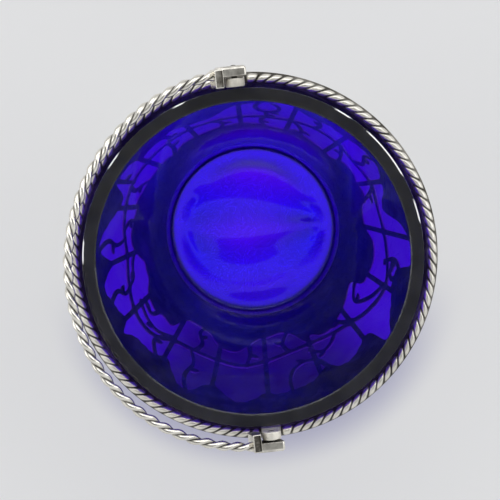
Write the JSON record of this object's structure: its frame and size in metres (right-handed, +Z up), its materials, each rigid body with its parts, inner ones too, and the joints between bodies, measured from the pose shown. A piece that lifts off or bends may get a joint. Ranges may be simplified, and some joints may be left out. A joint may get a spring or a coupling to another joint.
{
  "type": "cream pail",
  "caption": "Small pierced silver cream pail with a lift-out cobalt glass liner and a twisted swing handle that lies over to one side.",
  "frame": {"origin": "centre of the flat underside of the base plate", "axes": "+Z up, +Y along the hinge line, the handle lies over towards -X at rest"},
  "size_m": [0.0772, 0.0808, 0.0764],
  "materials": {
    "silver": "polished silver, slightly warm, darker in the cuts",
    "cobalt_glass": "clear deep blue glass with a ground flat rim"
  },
  "bodies": {
    "pail": {"base_plate": "silver", "foot_moulding": "silver", "pierced_body": "silver", "rim_lip": "silver", "rim_rope_left": "silver", "rim_rope_right": "silver", "hinge_lug_top": "silver", "hinge_lug_bottom": "silver", "hinge_pin_top": "silver", "hinge_pin_bottom": "silver"},
    "handle": {"handle_end_top": "silver", "handle_end_bottom": "silver", "handle_strand_a": "silver", "handle_strand_b": "silver"},
    "liner": {"glass_liner": "cobalt_glass"}
  },
  "joints": [
    {"name": "handle_swing", "type": "hinge", "parent": "pail", "child": "handle", "pos_m": [0, 0, 0.064], "axis": [0, 1, 0], "range_deg": [0, 146]},
    {"name": "liner_lift", "type": "slide", "parent": "pail", "child": "liner", "axis": [0, 0, 1], "range_m": [0, 0.07]}
  ]
}
